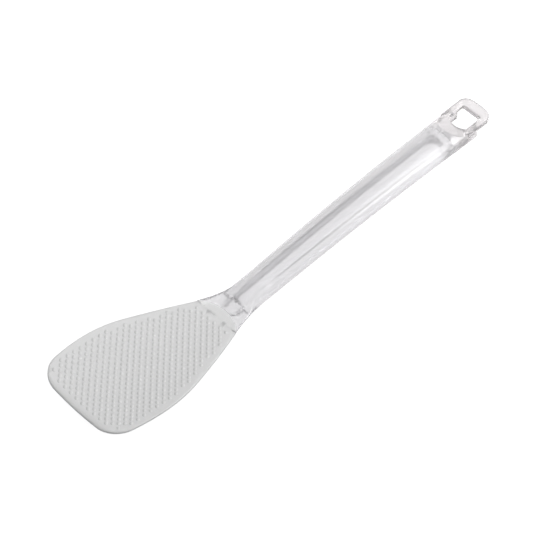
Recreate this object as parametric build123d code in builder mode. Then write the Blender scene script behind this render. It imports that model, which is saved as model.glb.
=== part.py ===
"""Rice paddle moulded in one translucent plastic: a dished blade, a bent neck,
a grip that is hollow underneath, and a thin tab with a window to hang it by.

Frame: X runs from the blade's tip to the hanging tab, Y across, Z up. The
paddle stands as it does on a worktop, on the heel of its neck and the end of
its grip, with the blade's tip raised. The origin is on the worktop, under the
middle of the paddle. Lengths are in millimetres, angles in degrees.
"""
import math
import os

from build123d import *

# Overall
blade_length = 110.1          # along the blade, from its tip to the bend at the neck
handle_length = 173.9         # level, from the bend to the tab's end
blade_tilt = 10.9             # how far the blade rises from the worktop

# Blade
blade_width = 58.3
blade_thickness = 1.9
dish_radius = 120.0           # of the trough that the blade is bent to
tip_bow = 0.2                 # how far the tip's edge bulges between its corners
tip_corner = 13.0
rim_bevel = 0.45              # of the edges all round the blade

# Neck
neck_length = 18.0            # along the blade, from the blade's end to the bend
neck_width = 27.0             # where it meets the blade
neck_skin = 2.2               # what is left over the pocket under the neck
shoulder_start = 3.5          # from the bend back to where the grip's full flanks begin

# Nose rib, which closes the channel under the neck
rib_wall = 1.7
rib_width = 10.2
rib_reach = 11.8              # from the bend back to the rib's outermost point

# Grip
grip_width = 19.8             # at its middle
grip_height = 10.0
sole_arch = 2.0               # how high the grip's underside arches off the worktop
heel_offset = 15.2            # from the bend to the end of the flat heel it stands on
block_flat = 5.2              # length of the flat under the block's end

# Channel under the grip
channel_width = 9.8
roof_thickness = 3.0
channel_stop = 33.0           # from the tab's end to the channel's round end
channel_backing = 2.5         # of the grip past the channel's round end

# End block
block_end = 10.6              # from the tab's end to the block's end
block_corner = 5.0

# Hanging tab
tab_width = 19.6
tab_thickness = 3.3
tab_top = 7.8                 # height of its flat top over the worktop
tab_corner = 5.6
tab_bow = 1.0                 # how far its end bulges
tab_bevel = 0.5               # of the tab's edges, and of the window's rim
step_radius = 8.7             # of the round step down from the grip's crown
step_centre = 19.4            # from the tab's end to that step's centre

# Window in the tab
window_width = 12.2
window_length = 10.9          # along its straight sides
window_bulge = 2.5            # of its curved side, towards the grip
window_margin = 6.3           # from the tab's end to the window
window_corner = 0.9

overrun = 5.0                 # how far every cutter runs past what it cuts

# Points of the blade's outline, from the tip on: place along the blade, half width
tip_width_share = 0.87
widest_shares = (0.273, 1.0)
taper_shares = (0.491, 0.885)

# Sections of the neck. First the place, from the bend towards the tip, the height and
# the turn, all as shares of those at the blade's end. Then how far the section has gone
# from the blade's to the grip's: in width, in height and in shape
neck_shares = [
    (1.000, 1.000, 1.00, 0.000, 0.000, 0.00),
    (0.768, 0.767, 0.90, 0.280, 0.009, 0.06),
    (0.537, 0.538, 0.72, 0.520, 0.070, 0.20),
    (0.305, 0.323, 0.50, 0.720, 0.243, 0.42),
    (0.073, 0.147, 0.28, 0.870, 0.521, 0.66),
    (-0.158, 0.000, 0.12, 0.960, 0.800, 0.85),
    (-0.390, 0.000, 0.03, 0.996, 0.960, 0.96),
]

# Sections of the grip: place along the handle, width
grip_shares = [
    (0.0632, 0.859),
    (0.0863, 0.864),
    (0.1094, 0.870),
]
swell_shares = (0.870, 0.995, 1.088)    # width from there to the block's flat
block_shares = (0.980, 1.096)           # place and width past the block's end
neck_steps = 2                          # sections from each row to the next
grip_steps = 8                          # sections from the last row to the block's flat
grip_edge_share = 0.36        # height of the widest line of a grip section
grip_foot_share = 0.74        # width of the flat foot of a grip section
blade_foot_share = 0.985      # width of the same line at the blade's end
even_share = 1 / 3            # pull that makes a Bezier curve follow a shallow dish
oval_share = 0.5523           # pull that makes a Bezier curve a quarter of an oval
lead_share = 1 / 6            # pull that makes Bezier curves run smoothly through stations
curve_shares = (0.25, 0.5, 0.75)    # where points are taken along a curve of the top
foot_shares = (0, 0.55, 0.87)       # and of the foot
side_shares = (0, 0.5)              # and of the side

# Roof of the channel: place along the handle, depth
roof_shares = [
    (-0.0460, 0.230),
    (-0.0207, 0.460),
    (0.0046, 0.670),
    (0.0300, 0.886),
    (0.0552, 0.985),
]
roof_steps = 6                # sections from there to the channel's end
roof_side_share = 0.55        # how far up the oval of the roof begins
roof_width_share = 1.1        # how much wider than the channel that oval is
channel_draft_share = 0.72    # width of the channel at its first section

tilt = math.radians(blade_tilt)
blade_run = blade_length * math.cos(tilt)
overall_length = blade_run + handle_length
bend_x = blade_run - overall_length / 2
tab_end_x = bend_x + handle_length
heel_end_x = bend_x + heel_offset
shoulder_x = bend_x - shoulder_start
channel_end_x = tab_end_x - channel_stop
block_start_x = channel_end_x + channel_backing
block_end_x = tab_end_x - block_end
block_flat_x = block_end_x - block_flat
step_x = tab_end_x - step_centre
window_end_x = tab_end_x - window_margin

# The blade's own plane: its X runs towards the grip, its Z out of the face
blade_plane = Plane(
    origin=(bend_x, 0, 0),
    x_dir=(math.cos(tilt), 0, -math.sin(tilt)),
    z_dir=(math.sin(tilt), 0, math.cos(tilt)),
)


def cross_plane(x, z, turn):
    """A plane across the paddle, leaning towards the grip. Its X is the paddle's Y."""
    return Plane(
        origin=(x, 0, z),
        x_dir=(0, 1, 0),
        z_dir=(math.cos(turn), 0, -math.sin(turn)),
    )


def sole_height(x):
    """Height of the grip's underside, a shallow arch between the flats it stands on."""
    share = (x - heel_end_x) / (block_flat_x - heel_end_x)
    return max(0, 4 * sole_arch * share * (1 - share))


def dish_rise(half_width):
    """How far the trough that the blade is bent to has risen, at a half width."""
    return dish_radius - math.sqrt(dish_radius**2 - half_width**2)


def between(start, end, share):
    """The size that lies a share of the way from one size to another."""
    return start + (end - start) * share


def curve_value(controls, share):
    """The value a share of the way along the Bezier curve that has these controls."""
    while len(controls) > 1:
        controls = [between(a, b, share) for a, b in zip(controls, controls[1:])]
    return controls[0]


def curve_point(controls, share):
    """The point a share of the way along the Bezier curve that has these controls."""
    return tuple(curve_value(values, share) for values in zip(*controls))


def neck_station(shares):
    """Place and sizes of one neck section, worked out from its row of shares."""
    place, rise, turn, width_share, height_share, shape_share = shares
    blade_half = neck_width / 2
    width = between(blade_half, grip_shares[0][1] * grip_width / 2, width_share)
    foot = width * between(blade_foot_share, grip_foot_share, shape_share)
    blade_edge = blade_thickness + dish_rise(blade_half)
    return {
        "x": bend_x - place * neck_length * math.cos(tilt),
        "z": rise * neck_length * math.sin(tilt),
        "turn": turn * tilt,
        "width": width,
        "crown": between(blade_thickness, grip_height, height_share),
        "edge": between(blade_edge, grip_edge_share * grip_height, shape_share),
        "foot": foot,
        "foot_rise": turn * dish_rise(foot),
        "lean": between(even_share, 0, shape_share),
        "side_pull": between(1 - even_share, oval_share, shape_share),
        "crown_pull": between(even_share, oval_share, shape_share),
    }


def grip_station(shares):
    """Place and sizes of one grip section, worked out from its row of shares."""
    place, width_share = shares
    x = bend_x + place * handle_length
    width = width_share * grip_width / 2
    return {
        "x": x,
        "z": sole_height(x),
        "turn": 0,
        "width": width,
        "crown": grip_height,
        "edge": grip_edge_share * grip_height,
        "foot": grip_foot_share * width,
        "foot_rise": 0,
        "lean": 0,
        "side_pull": oval_share,
        "crown_pull": oval_share,
    }


def smoothed(stations):
    """Evenly spaced stations, with others between them on a smooth curve through all."""
    ends = [stations[0], *stations, stations[-1]]
    result = []
    for before, start, end, after in zip(ends, ends[1:], ends[2:], ends[3:]):
        for step in range(neck_steps):
            share = step / neck_steps
            result.append({
                key: curve_value(
                    [
                        start[key],
                        start[key] + lead_share * (end[key] - before[key]),
                        end[key] - lead_share * (after[key] - start[key]),
                        end[key],
                    ],
                    share,
                )
                for key in start
            })
    return result + [stations[-1]]


def station_plane(station):
    """The plane that a station's section is drawn on."""
    return cross_plane(station["x"], max(0, station["z"]), station["turn"])


def top_points(station, drop):
    """Points over one half of a section's top, from its side, lowered by a drop."""
    width, crown, edge = station["width"], station["crown"] - drop, station["edge"] - drop
    controls = [
        (width, edge),
        (width * (1 - station["lean"]), between(edge, crown, station["side_pull"])),
        (width * station["crown_pull"], crown),
        (0, crown),
    ]
    return [curve_point(controls, share) for share in (0, *curve_shares, 1)]


def form_section(station):
    """Whole section of neck or grip: its foot, its side and its top."""
    width, edge = station["width"], station["edge"]
    foot, foot_rise = station["foot"], station["foot_rise"]
    foot_controls = [
        (0, 0),
        (foot * even_share, 0),
        (foot * (1 - even_share), foot_rise * even_share),
        (foot, foot_rise),
    ]
    side_controls = [
        (foot, foot_rise),
        (between(foot, width, oval_share), foot_rise),
        (width, between(edge, foot_rise, oval_share)),
        (width, edge),
    ]
    points = [curve_point(foot_controls, share) for share in foot_shares]
    points += [curve_point(side_controls, share) for share in side_shares]
    points += top_points(station, 0)
    with BuildSketch(station_plane(station)) as section:
        with BuildLine():
            Spline(*points, tangents=[(1, 0), (-1, 0)])
            mirror(about=Plane.YZ)
        make_face()
    return section.sketch


def pocket_section(station):
    """Section of the pocket under the neck: all below a line one skin under the top."""
    reach = neck_width / 2 + overrun
    points = top_points(station, neck_skin)
    with BuildSketch(station_plane(station)) as section:
        with BuildLine():
            Polyline((0, -overrun), (reach, -overrun), (reach, points[0][1]))
            Spline((reach, points[0][1]), *points, tangents=[(-1, 0), (-1, 0)])
            mirror(about=Plane.YZ)
        make_face()
    return section.sketch


def roof_section(shares):
    """Section of all that lies under the oval roof of the channel."""
    place, depth_share = shares
    x = bend_x + place * handle_length
    reach = roof_width_share * channel_width / 2
    ceiling = depth_share * (grip_height - roof_thickness)
    side = roof_side_share * ceiling
    with BuildSketch(cross_plane(x, sole_height(x), 0)) as section:
        with BuildLine():
            Polyline((0, -overrun), (reach, -overrun), (reach, side))
            Bezier(
                (reach, side),
                (reach, between(side, ceiling, oval_share)),
                (oval_share * reach, ceiling),
                (0, ceiling),
            )
            mirror(about=Plane.YZ)
        make_face()
    return section.sketch


def places(start, end, steps):
    """Evenly spaced places from one to another, without the first."""
    return [between(start, end, step / steps) for step in range(1, steps + 1)]


# The whole outer form, from which the zones are cut
neck_rows = [neck_station(row) for row in neck_shares]
neck_rows += [grip_station(row) for row in grip_shares]
neck_stations = smoothed(neck_rows)
flat_share = (block_flat_x - bend_x) / handle_length
grip_rows = [
    (between(grip_shares[-1][0], flat_share, share), curve_value(swell_shares, share))
    for share in places(0, 1, grip_steps)
]
grip_stations = [grip_station(row) for row in [*grip_rows, block_shares]]
with BuildPart() as form:
    loft(sections=[form_section(row) for row in neck_stations + grip_stations], ruled=True)


def zone(start_plane, end_x):
    """The outer form between a plane and an upright plane across the paddle."""
    with BuildPart() as piece:
        add(form.part)
        split(bisect_by=start_plane, keep=Keep.TOP)
        split(bisect_by=Plane.YZ.offset(end_x), keep=Keep.BOTTOM)
    return piece.part


neck_start_plane = station_plane(neck_stations[0])
shoulder_plane = Plane.YZ.offset(shoulder_x)

# Pocket under the neck: it follows the neck's top, one skin below it
with BuildPart() as pocket:
    pocket_stations = [row for row in neck_stations if row["x"] < bend_x]
    loft(sections=[pocket_section(row) for row in pocket_stations], ruled=True)

def on_neck_start(edge):
    """Whether an edge of the blade lies where the neck begins."""
    return abs(neck_start_plane.to_local_coords(edge.center()).Z) < rim_bevel


# Blade: the outline, cut to a trough of even thickness
with BuildPart() as blade:
    with BuildSketch(blade_plane.offset(-overrun)):
        with BuildLine():
            corner = (tip_bow - blade_length, tip_width_share * blade_width / 2)
            widest, taper = [
                ((along - 1) * blade_length, share * blade_width / 2)
                for along, share in (widest_shares, taper_shares)
            ]
            neck_corner = (-neck_length, neck_width / 2)
            ThreePointArc((corner[0], -corner[1]), (-blade_length, 0), corner)
            TangentArc(widest, corner, tangent=(-1, 0))
            side = TangentArc(widest, taper, tangent=(1, 0))
            TangentArc(taper, neck_corner, tangent=side % 1)
            mirror(edges().filter_by(lambda edge: edge.center().Y > 0), about=Plane.XZ)
            Line(neck_corner, (neck_corner[0], -neck_corner[1]))
        make_face()
        fillet(vertices().group_by(Axis.X)[0], tip_corner)
    extrude(amount=2 * overrun + dish_rise(blade_width / 2) + blade_thickness)
    with BuildSketch(neck_start_plane):
        with Locations((0, dish_radius)):
            Circle(dish_radius)
            Circle(dish_radius - blade_thickness, mode=Mode.SUBTRACT)
    extrude(amount=-(blade_length + overrun), mode=Mode.INTERSECT)
    skins = blade.faces().sort_by(SortBy.AREA)[-2:]
    chamfer([edge for edge in skins.edges() if not on_neck_start(edge)], rim_bevel)
blade.part.label = "blade"

# Neck: a skin over the pocket
with BuildPart() as neck:
    add(zone(neck_start_plane, shoulder_x))
    add(pocket.part, mode=Mode.SUBTRACT)
neck.part.label = "neck"

# Nose rib: a U-shaped wall in the pocket, round the blade end of the channel
with BuildPart() as channel_nose:
    add(zone(neck_start_plane, shoulder_x))
    add(pocket.part, mode=Mode.INTERSECT)
    nose_x = bend_x - rib_reach + rib_width / 2
    with BuildSketch(Plane.XY.offset(-overrun)):
        with Locations((nose_x, 0)):
            Circle(rib_width / 2)
            Circle(rib_width / 2 - rib_wall, mode=Mode.SUBTRACT)
        with Locations(((nose_x + shoulder_x) / 2, 0)):
            Rectangle(shoulder_x - nose_x, rib_width)
            Rectangle(shoulder_x - nose_x, rib_width - 2 * rib_wall, mode=Mode.SUBTRACT)
    extrude(amount=2 * overrun + grip_height, mode=Mode.INTERSECT)
channel_nose.part.label = "channel_nose"

# Channel under the grip, with drafted walls and a round end towards the tab
with BuildPart() as channel:
    channel_end_share = (channel_end_x - bend_x) / handle_length
    last_place, last_depth = roof_shares[-1]
    roof_rows = [(place, 1) for place in places(last_place, channel_end_share, roof_steps)]
    loft(sections=[roof_section(row) for row in roof_shares + roof_rows], ruled=True)
    with BuildSketch(Plane.XY.offset(-overrun)):
        with BuildLine():
            half = channel_width / 2
            start = (bend_x + roof_shares[0][0] * handle_length, channel_draft_share * half)
            end = (channel_end_x - half, half)
            Line(start, end)
            ThreePointArc(end, (channel_end_x, 0), (end[0], -half))
            Polyline((end[0], -half), (start[0], -start[1]), start)
        make_face()
    extrude(amount=2 * overrun + grip_height, mode=Mode.INTERSECT)

# Grip
with BuildPart() as handle:
    add(zone(shoulder_plane, block_start_x))
    add(channel.part, mode=Mode.SUBTRACT)
handle.part.label = "handle"

# Window: three straight sides, and a curved one towards the grip
with BuildSketch() as window:
    with BuildLine():
        half = window_width / 2
        back_x = window_end_x - window_length
        Polyline((back_x, half), (window_end_x, half), (window_end_x, -half), (back_x, -half))
        ThreePointArc((back_x, -half), (back_x - window_bulge, 0), (back_x, half))
    make_face()
    fillet(window.vertices(), window_corner)

# End block: solid end of the grip, under and behind the tab, with round corners
with BuildPart() as end_block:
    add(zone(Plane.YZ.offset(block_start_x), block_end_x))
    end_width = block_shares[-1] * grip_width
    with BuildSketch(Plane.XY.offset(-overrun)):
        with Locations(((block_start_x + block_end_x) / 2, 0)):
            Rectangle(block_end_x - block_start_x, end_width)
        fillet(vertices().group_by(Axis.X)[-1], block_corner)
        add(window.sketch, mode=Mode.SUBTRACT)
    extrude(amount=grip_height + 2 * overrun, mode=Mode.INTERSECT)
    with BuildSketch(Plane.XY.offset(tab_top - tab_thickness)):
        with Locations((step_x, 0)):
            Circle(step_radius)
        with Locations(((step_x + tab_end_x) / 2, 0)):
            Rectangle(tab_end_x - step_x, end_width + overrun)
    extrude(amount=grip_height, mode=Mode.SUBTRACT)
end_block.part.label = "end_block"

# Hanging tab: thin, flat and clear, with the window through it
with BuildPart() as hanging_tab:
    with BuildSketch(Plane.XY.offset(tab_top - tab_thickness)):
        with BuildLine():
            side = tab_width / 2
            corner_x = tab_end_x - tab_bow
            Polyline((corner_x, side), (step_x, side), (step_x, -side), (corner_x, -side))
            ThreePointArc((corner_x, -side), (tab_end_x, 0), (corner_x, side))
        make_face()
        fillet(vertices().group_by(Axis.X)[-1], tab_corner)
        with Locations((step_x, 0)):
            Circle(step_radius)
        add(window.sketch, mode=Mode.SUBTRACT)
    extrude(amount=tab_thickness)
    outer = hanging_tab.edges().filter_by(lambda edge: edge.center().X > block_end_x)
    chamfer(outer.filter_by(Axis.Z, reverse=True), tab_bevel)
hanging_tab.part.label = "hanging_tab"

os.makedirs("parts", exist_ok=True)
for piece in (blade, neck, channel_nose, handle, end_block, hanging_tab):
    export_step(piece.part, f"parts/{piece.part.label}.step")
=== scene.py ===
"""Rice paddle, injection moulded in one shot of translucent polypropylene.

The moulding's six zones come from the frame. Copies of them are joined into one
continuous skin, so that light passes from zone to zone as it does in the real
paddle. Places are in metres, in the frame's own axes: +X from the blade's tip to
the hanging tab, +Z up off the worktop.
"""
import math

import bmesh
import bpy
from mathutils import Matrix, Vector


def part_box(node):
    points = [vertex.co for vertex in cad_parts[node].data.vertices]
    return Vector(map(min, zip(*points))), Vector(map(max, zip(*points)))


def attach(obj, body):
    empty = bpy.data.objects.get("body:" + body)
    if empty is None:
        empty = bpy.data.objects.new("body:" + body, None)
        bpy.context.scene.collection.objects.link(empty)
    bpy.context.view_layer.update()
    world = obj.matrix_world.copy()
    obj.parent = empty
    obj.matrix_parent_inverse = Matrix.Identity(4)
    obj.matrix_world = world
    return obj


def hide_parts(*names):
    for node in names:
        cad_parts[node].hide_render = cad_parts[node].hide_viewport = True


MM = 0.001

# Zones of the moulding, in the order in which their skins are joined
ZONES = ("handle", "neck", "channel_nose", "end_block", "hanging_tab", "blade")

# Camera, as the paddle was photographed
CAMERA_AZIMUTH = -44.45           # degrees, turned from the paddle's length
CAMERA_HEIGHT = 54.04             # degrees above the worktop
CAMERA_DISTANCE = 1083.3 * MM
CAMERA_TARGET = Vector((-8.48, 7.45, 0)) * MM
CAMERA_LENS = 146.2               # millimetres, on a 36 mm sensor
CAMERA_NEAR = 10 * MM

# Soft boxes: place in metres, width in metres and power in watts
KEY_LAMP = ((0.9, -0.7, 0.9), 0.7, 13)
FILL_LAMP = ((-0.5, 0.2, 1.2), 1.0, 1.5)

# Surroundings
FLOOR_REACH = 3.0
FLOOR_HEIGHT = -0.2 * MM
PAPER_COLOUR, PAPER_GLOW = "#8C8C8C", 0.9
SKY_COLOUR, SKY_STRENGTH = "#FFFFFF", 0.55

# Studs on the blade's face, in a square lattice that is turned to the paddle's length
BLADE_TILT = math.radians(10.9)
STUD_FIELD = 160 * MM             # side of the lattice, past the blade on every side
STUD_PITCH = 2.9 * MM
STUD_TURN = math.radians(45)
STUD_RADIUS = 1.1 * MM
STUD_LENGTH = 1.5 * MM            # half of it, so that studs touch end to end
STUD_DEPTH = 0.75 * MM            # half the height of the whole oval stud
STUD_SINK = 0.35 * MM             # of its middle under the face
STUD_MARGIN = 3.2 * MM            # smooth border inside the rim
STUD_SEGMENTS, STUD_RINGS = 10, 6
DROP = 1.0                        # length of the rays that find the face

# Finishes, from the blade's to the tab's: colour, roughness, clearness, depth of grain
FINISHES = (
    ("#E6E6E6", 0.55, 0.22, 0.02 * MM),      # spark-eroded mould: matte and milky
    ("#F3F2F4", 0.17, 0.68, 0.004 * MM),     # fine-grained mould: the hollow shows through
    ("#F8F5F6", 0.12, 0.70, 0.0),            # polished mould: glossy and nearly clear
)
PLASTIC_IOR = 1.49                # of polypropylene
GRAIN = 0.5 * MM                  # of the mould's grain, drawn coarse enough to show
GRAIN_DETAIL = 3.0
FROST_CENTRE = -62 * MM           # along the paddle, of the arc that ends the frosted face
FROST_RADIUS = 17.6 * MM
FROST_FADE = 0.8 * MM
POLISH_START, POLISH_END = 112 * MM, 116 * MM

# Channel under the grip, and the painted shade: a dark line along the top of its walls
CHANNEL_HALF_WIDTH = 5.0 * MM
CHANNEL_TOP = 8.6 * MM
STEEP = 0.75                      # sideways part of a steep face's normal
# Painted shade: colour and clearness of the dark band that stands in for light bent by the
# moulding
PAINTED_SHADE_COLOUR, PAINTED_SHADE_CLEARNESS = "#0C0C12", 0.20
LINE_FOOT, LINE_TOP = 4.9 * MM, 6.7 * MM
LINE_FADE = 0.5                   # share of the line that is gone at the tab's end

# Numbers for meshes and nodes
MERGE_DISTANCE = 1e-7
BLADE_CUTS = 24
SMOOTH_ANGLE = math.radians(35)
PLASTIC, CHANNEL_WALL = range(2)  # material slots of the moulding
MIX_SOCKETS = {"RGBA": (6, 7, 2), "FLOAT": (2, 3, 0)}   # numbers of A, B and the result

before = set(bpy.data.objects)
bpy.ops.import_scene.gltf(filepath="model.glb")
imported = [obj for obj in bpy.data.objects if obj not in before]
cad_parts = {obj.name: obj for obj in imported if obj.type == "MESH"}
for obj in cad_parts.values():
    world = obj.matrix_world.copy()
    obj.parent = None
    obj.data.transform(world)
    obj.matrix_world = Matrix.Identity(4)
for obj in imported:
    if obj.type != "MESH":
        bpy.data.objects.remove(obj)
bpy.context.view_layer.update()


def linear(hex_colour):
    """An sRGB hex colour as linear RGBA."""
    values = [int(hex_colour[i:i + 2], 16) / 255 for i in (1, 3, 5)]
    return [v / 12.92 if v <= 0.04045 else ((v + 0.055) / 1.055) ** 2.4 for v in values] + [1]


def add_node(tree, kind, settings=None, links=None):
    """Adds a node, sets its properties and sockets by name or number, and links sockets."""
    node = tree.nodes.new(kind)
    for name, value in (settings or {}).items():
        if isinstance(name, str) and hasattr(node, name):
            setattr(node, name, value)
        else:
            node.inputs[name].default_value = value
    for name, source in (links or {}).items():
        tree.links.new(source, node.inputs[name])
    return node


def vector_math(tree, operation, first, second):
    """A vector operation on two sockets or fixed vectors."""
    node = add_node(tree, "ShaderNodeVectorMath", {"operation": operation})
    for socket, value in zip(node.inputs, (first, second)):
        if isinstance(value, bpy.types.NodeSocket):
            tree.links.new(value, socket)
        else:
            socket.default_value = value
    return node


def place_in_scene(name, data):
    """A new object at the origin."""
    thing = bpy.data.objects.new(name, data)
    bpy.context.scene.collection.objects.link(thing)
    return thing


def evaluated_mesh(thing):
    """What an object's modifiers make of it, as a plain mesh."""
    bpy.context.view_layer.update()
    evaluated = thing.evaluated_get(bpy.context.evaluated_depsgraph_get())
    return bpy.data.meshes.new_from_object(evaluated)


def empty_material(name):
    """A node material with nothing in it but its output."""
    material = bpy.data.materials.new(name)
    material.use_nodes = True
    tree = material.node_tree
    tree.nodes.clear()
    return material, tree, tree.nodes.new("ShaderNodeOutputMaterial")


def step_up(tree, value, start, end):
    """0 where a value is below start and 1 where it is above end, with a soft change."""
    node = add_node(tree, "ShaderNodeMapRange", {
        "interpolation_type": "SMOOTHSTEP", "From Min": start, "From Max": end}, {"Value": value})
    return node.outputs["Result"]


def mixed(tree, kind, masks, values):
    """A colour or a number that changes from value to value, with a mask for each change."""
    first, second, result = MIX_SOCKETS[kind]
    outcome = None
    for mask, value in zip(masks, values[1:]):
        node = add_node(tree, "ShaderNodeMix", {"data_type": kind}, {0: mask})
        if outcome is None:
            node.inputs[first].default_value = values[0]
        else:
            tree.links.new(outcome, node.inputs[first])
        node.inputs[second].default_value = value
        outcome = node.outputs[result]
    return outcome


def past_frosted_face(tree, here, along):
    """1 beyond the blade's frosted face, which ends in an arc where the neck starts."""
    flat = vector_math(tree, "MULTIPLY", here, (1, 1, 0))
    reach = vector_math(tree, "DISTANCE", flat.outputs[0], (FROST_CENTRE, 0, 0))
    past_arc = step_up(tree, reach.outputs["Value"], FROST_RADIUS, FROST_RADIUS + FROST_FADE)
    past_face = step_up(tree, along, FROST_CENTRE, FROST_CENTRE + FROST_RADIUS / 2)
    both = add_node(tree, "ShaderNodeMath", {"operation": "MULTIPLY"},
                    {0: past_arc, 1: past_face})
    return both.outputs[0]


def moulded_plastic():
    """Translucent polypropylene: each part of the mould has left its own finish on it."""
    material, tree, output = empty_material("translucent_polypropylene")
    here = add_node(tree, "ShaderNodeTexCoord").outputs["Object"]
    along = add_node(tree, "ShaderNodeSeparateXYZ", None, {"Vector": here}).outputs["X"]
    masks = (past_frosted_face(tree, here, along), step_up(tree, along, POLISH_START, POLISH_END))
    colours, roughnesses, clearnesses, depths = zip(*FINISHES)
    grain = add_node(tree, "ShaderNodeTexNoise", {"Scale": 1 / GRAIN, "Detail": GRAIN_DETAIL},
                     {"Vector": here})
    bump = add_node(tree, "ShaderNodeBump", None, {
        "Height": grain.outputs["Fac"], "Distance": mixed(tree, "FLOAT", masks, depths)})
    shader = add_node(tree, "ShaderNodeBsdfPrincipled", {"IOR": PLASTIC_IOR}, {
        "Base Color": mixed(tree, "RGBA", masks, [linear(colour) for colour in colours]),
        "Roughness": mixed(tree, "FLOAT", masks, roughnesses),
        "Transmission Weight": mixed(tree, "FLOAT", masks, clearnesses),
        "Normal": bump.outputs["Normal"]})
    tree.links.new(shader.outputs["BSDF"], output.inputs["Surface"])
    return material


def channel_plastic_with_painted_shade(fade_end):
    """The grip's polypropylene, darkened along the top of the channel's walls.

    The real paddle's dark line comes from how the moulding bends light. Here a
    dark band stands in for it, and fades towards the tab.
    """
    material, tree, output = empty_material("channel_wall_polypropylene_with_painted_shade")
    here = add_node(tree, "ShaderNodeTexCoord").outputs["Object"]
    split = add_node(tree, "ShaderNodeSeparateXYZ", None, {"Vector": here})
    high = step_up(tree, split.outputs["Z"], LINE_FOOT, LINE_TOP)
    near_tab = step_up(tree, split.outputs["X"], 0.0, fade_end)
    left = add_node(tree, "ShaderNodeMath", {"operation": "MULTIPLY_ADD", 1: -LINE_FADE, 2: 1.0},
                    {0: near_tab})
    # Mask of the painted shade: high on the channel's walls, fading towards the tab
    line = add_node(tree, "ShaderNodeMath", {"operation": "MULTIPLY"},
                    {0: high, 1: left.outputs[0]})
    masks = (line.outputs[0],)
    colour, roughness, clearness, _ = FINISHES[1]
    shader = add_node(tree, "ShaderNodeBsdfPrincipled", {
        "Roughness": roughness, "IOR": PLASTIC_IOR}, {
        "Base Color": mixed(tree, "RGBA", masks, [linear(colour), linear(PAINTED_SHADE_COLOUR)]),
        "Transmission Weight": mixed(tree, "FLOAT", masks, [clearness, PAINTED_SHADE_CLEARNESS])})
    tree.links.new(shader.outputs["BSDF"], output.inputs["Surface"])
    return material


def cut_across(work, low, high):
    """Cuts long faces into short ones, so that the shading's normals stay local."""
    for step in range(1, BLADE_CUTS):
        x = low.x + (high.x - low.x) * step / BLADE_CUTS
        geometry = work.verts[:] + work.edges[:] + work.faces[:]
        bmesh.ops.bisect_plane(work, geom=geometry, plane_co=(x, 0, 0), plane_no=(1, 0, 0))


def zone_copy(name):
    """A copy of a zone's mesh, its loose triangles merged into a closed skin."""
    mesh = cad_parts[name].data.copy()
    work = bmesh.new()
    work.from_mesh(mesh)
    bmesh.ops.remove_doubles(work, verts=work.verts, dist=MERGE_DISTANCE)
    if name == "blade":
        cut_across(work, *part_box(name))
    work.to_mesh(mesh)
    work.free()
    mesh.materials.clear()
    return place_in_scene(name + "_copy", mesh)


def joined(name, pieces):
    """One closed skin round pieces that touch face to face."""
    base = pieces[0]
    for piece in pieces[1:]:
        union = base.modifiers.new(piece.name, "BOOLEAN")
        union.operation, union.solver, union.object = "UNION", "MANIFOLD", piece
    mesh = evaluated_mesh(base)
    for piece in pieces:
        bpy.data.objects.remove(piece)
    return place_in_scene(name, mesh)


def lattice_points(tree, inputs):
    """A square lattice of points, turned and tilted above the blade's face."""
    steps = add_node(tree, "ShaderNodeMath", {"operation": "DIVIDE"},
                     {0: inputs["Reach"], 1: inputs["Pitch"]})
    count = add_node(tree, "ShaderNodeMath", {"operation": "ROUND"}, {0: steps.outputs[0]})
    size = add_node(tree, "ShaderNodeMath", {"operation": "MULTIPLY"},
                    {0: count.outputs[0], 1: inputs["Pitch"]})
    corners = add_node(tree, "ShaderNodeMath", {"operation": "ADD", 1: 1}, {0: count.outputs[0]})
    lattice = add_node(tree, "GeometryNodeMeshGrid", None, {
        "Size X": size.outputs[0], "Size Y": size.outputs[0],
        "Vertices X": corners.outputs[0], "Vertices Y": corners.outputs[0]})
    turned = add_node(tree, "GeometryNodeTransform", {"Rotation": (0, 0, STUD_TURN)},
                      {"Geometry": lattice.outputs["Mesh"]})
    low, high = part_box("blade")
    above_blade = ((low.x + high.x) / 2, 0, high.z + STUD_PITCH)
    tilted = add_node(tree, "GeometryNodeTransform",
                      {"Rotation": (0, BLADE_TILT, 0), "Translation": above_blade},
                      {"Geometry": turned.outputs["Geometry"]})
    return tilted.outputs["Geometry"]


def dropped_on_face(tree, inputs, points, face):
    """The points that have face under them and a margin all round, moved down onto it."""
    target = add_node(tree, "GeometryNodeObjectInfo", {"Object": face}).outputs["Geometry"]
    here = add_node(tree, "GeometryNodeInputPosition").outputs[0]
    down = (-math.sin(BLADE_TILT), 0, -math.cos(BLADE_TILT))
    along = (math.cos(BLADE_TILT), 0, -math.sin(BLADE_TILT))
    back = [-value for value in along]

    def ray(start):
        return add_node(tree, "GeometryNodeRaycast", {"Ray Direction": down, "Ray Length": DROP},
                        {"Target Geometry": target, "Source Position": start})

    middle = ray(here)
    kept = middle.outputs["Is Hit"]
    for direction in (along, back, (0, 1, 0), (0, -1, 0)):
        step = add_node(tree, "ShaderNodeVectorMath", {"operation": "SCALE", 0: direction},
                        {"Scale": inputs["Margin"]})
        aside = ray(vector_math(tree, "ADD", here, step.outputs[0]).outputs[0])
        kept = add_node(tree, "FunctionNodeBooleanMath", {"operation": "AND"},
                        {0: kept, 1: aside.outputs["Is Hit"]}).outputs[0]
    missed = add_node(tree, "FunctionNodeBooleanMath", {"operation": "NOT"}, {0: kept})
    upright = add_node(tree, "GeometryNodeStoreNamedAttribute",
                       {"data_type": "FLOAT_VECTOR", "domain": "POINT", "Name": "upright"},
                       {"Geometry": points, "Value": middle.outputs["Hit Normal"]})
    cut = add_node(tree, "GeometryNodeDeleteGeometry", {"domain": "POINT"},
                   {"Geometry": upright.outputs["Geometry"], "Selection": missed.outputs[0]})
    placed = add_node(tree, "GeometryNodeSetPosition", None, {
        "Geometry": cut.outputs["Geometry"], "Position": middle.outputs["Hit Position"]})
    return placed.outputs["Geometry"]


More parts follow.
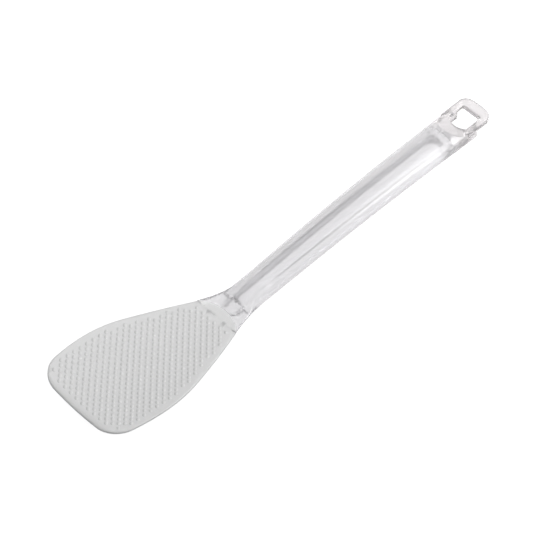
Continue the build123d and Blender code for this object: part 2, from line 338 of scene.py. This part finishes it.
def oval_stud(tree):
    """One stud: a ball, lengthened, flattened and sunk."""
    ball = add_node(tree, "GeometryNodeMeshUVSphere", {
        "Segments": STUD_SEGMENTS, "Rings": STUD_RINGS, "Radius": STUD_RADIUS})
    stud = add_node(tree, "GeometryNodeTransform", {
        "Scale": (STUD_LENGTH / STUD_RADIUS, 1, STUD_DEPTH / STUD_RADIUS),
        "Rotation": (0, 0, STUD_TURN), "Translation": (0, 0, -STUD_SINK)},
        {"Geometry": ball.outputs["Mesh"]})
    return stud.outputs["Geometry"]


def stud_tree(face, material):
    """Geometry Nodes: oval studs in a turned lattice, wherever the face lies under it."""
    tree = bpy.data.node_groups.new("raised_studs", "GeometryNodeTree")
    tree.interface.new_socket("Geometry", in_out="OUTPUT", socket_type="NodeSocketGeometry")
    sizes = {"Pitch": STUD_PITCH, "Margin": STUD_MARGIN, "Reach": STUD_FIELD}
    for name, value in sizes.items():
        socket = tree.interface.new_socket(name, in_out="INPUT", socket_type="NodeSocketFloat")
        socket.default_value = value
    inputs = add_node(tree, "NodeGroupInput").outputs
    points = dropped_on_face(tree, inputs, lattice_points(tree, inputs), face)
    upright = add_node(tree, "GeometryNodeInputNamedAttribute",
                       {"data_type": "FLOAT_VECTOR", "Name": "upright"})
    turn = add_node(tree, "FunctionNodeAlignRotationToVector", {"axis": "Z"},
                    {"Vector": upright.outputs["Attribute"]})
    studs = add_node(tree, "GeometryNodeInstanceOnPoints", None, {
        "Points": points, "Instance": oval_stud(tree), "Rotation": turn.outputs[0]})
    real = add_node(tree, "GeometryNodeRealizeInstances", None,
                    {"Geometry": studs.outputs["Instances"]})
    dressed = add_node(tree, "GeometryNodeSetMaterial", {"Material": material},
                       {"Geometry": real.outputs["Geometry"]})
    add_node(tree, "NodeGroupOutput", None, {0: dressed.outputs["Geometry"]})
    return tree


def studs_on(face, material):
    """The studs of the blade's face, as a plain mesh."""
    holder = place_in_scene("studs", bpy.data.meshes.new("studs"))
    holder.modifiers.new("studs", "NODES").node_group = stud_tree(face, material)
    mesh = evaluated_mesh(holder)
    bpy.data.objects.remove(holder)
    mesh.materials.clear()
    return mesh


def add_shells(piece, mesh):
    """Adds the closed shells of a mesh to a piece's own mesh."""
    work = bmesh.new()
    work.from_mesh(piece.data)
    work.from_mesh(mesh)
    work.to_mesh(piece.data)
    work.free()


def is_channel_wall(face, start, end):
    """Whether a face is on one of the steep walls of the channel under the grip."""
    x, y, z = face.center
    return (start < x < end and abs(y) < CHANNEL_HALF_WIDTH and z < CHANNEL_TOP
            and abs(face.normal.y) > STEEP)


def paddle():
    """The whole moulding, with its studs, as one piece that replaces every zone."""
    channel_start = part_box("handle")[0].x
    channel_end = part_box("end_block")[0].x
    finishes = [moulded_plastic(), channel_plastic_with_painted_shade(channel_end)]
    pieces = [zone_copy(name) for name in ZONES]
    studs = studs_on(pieces[ZONES.index("blade")], finishes[PLASTIC])
    moulding = joined("paddle_moulding", pieces)
    add_shells(moulding, studs)
    moulding.data.materials.clear()
    for finish in finishes:
        moulding.data.materials.append(finish)
    for face in moulding.data.polygons:
        walled = is_channel_wall(face, channel_start, channel_end)
        face.material_index = CHANNEL_WALL if walled else PLASTIC
    bpy.context.view_layer.objects.active = moulding
    moulding.select_set(True)
    bpy.ops.object.shade_smooth_by_angle(angle=SMOOTH_ANGLE)
    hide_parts(*ZONES)
    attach(moulding, "root")


def white_paper():
    """Photographer's paper: white to the camera and through the plastic, but shaded."""
    material, tree, output = empty_material("white_paper")
    rays = add_node(tree, "ShaderNodeLightPath")
    seen = add_node(tree, "ShaderNodeMath", {"operation": "MAXIMUM"}, {
        0: rays.outputs["Is Camera Ray"], 1: rays.outputs["Is Transmission Ray"]})
    seen_or_mirrored = add_node(tree, "ShaderNodeMath", {"operation": "MAXIMUM"}, {
        0: seen.outputs[0], 1: rays.outputs["Is Glossy Ray"]})
    paper = add_node(tree, "ShaderNodeBsdfDiffuse", {"Color": linear(PAPER_COLOUR)})
    glow = add_node(tree, "ShaderNodeEmission",
                    {"Color": linear("#FFFFFF"), "Strength": PAPER_GLOW})
    both = add_node(tree, "ShaderNodeAddShader", None,
                    {0: paper.outputs[0], 1: glow.outputs[0]})
    mix = add_node(tree, "ShaderNodeMixShader", None, {
        "Fac": seen_or_mirrored.outputs[0], 1: paper.outputs[0], 2: both.outputs[0]})
    tree.links.new(mix.outputs[0], output.inputs["Surface"])
    return material


def floor():
    """A flat floor just under the paddle."""
    mesh = bpy.data.meshes.new("floor")
    corners = [(x * FLOOR_REACH, y * FLOOR_REACH, FLOOR_HEIGHT)
               for x, y in ((-1, -1), (1, -1), (1, 1), (-1, 1))]
    mesh.from_pydata(corners, [], [(0, 1, 2, 3)])
    mesh.materials.append(white_paper())
    place_in_scene("floor", mesh)


def sky():
    """Even light from all round."""
    world = bpy.data.worlds.new("studio")
    bpy.context.scene.world = world
    world.use_nodes = True
    tree = world.node_tree
    tree.nodes.clear()
    light = add_node(tree, "ShaderNodeBackground",
                     {"Color": linear(SKY_COLOUR), "Strength": SKY_STRENGTH})
    add_node(tree, "ShaderNodeOutputWorld", None, {"Surface": light.outputs[0]})


def soft_lamp(name, place, width, power):
    """A square soft box that points at the paddle."""
    lamp = bpy.data.lights.new(name, "AREA")
    lamp.size, lamp.energy = width, power
    holder = place_in_scene(name, lamp)
    holder.location = place
    holder.rotation_euler = (-Vector(place)).to_track_quat("-Z", "Y").to_euler()


def camera():
    """The camera, at the photograph's viewing angle."""
    turn, height = math.radians(CAMERA_AZIMUTH), math.radians(CAMERA_HEIGHT)
    away = Vector((math.sin(turn) * math.cos(height), -math.cos(turn) * math.cos(height),
                   math.sin(height)))
    lens = bpy.data.cameras.new("camera")
    lens.lens, lens.clip_start = CAMERA_LENS, CAMERA_NEAR
    holder = place_in_scene("camera", lens)
    holder.location = CAMERA_TARGET + CAMERA_DISTANCE * away
    holder.rotation_euler = (-away).to_track_quat("-Z", "Y").to_euler()
    bpy.context.scene.camera = holder


paddle()
floor()
sky()
soft_lamp("key", *KEY_LAMP)
soft_lamp("fill", *FILL_LAMP)
camera()
bpy.context.scene.view_settings.view_transform = "Standard"
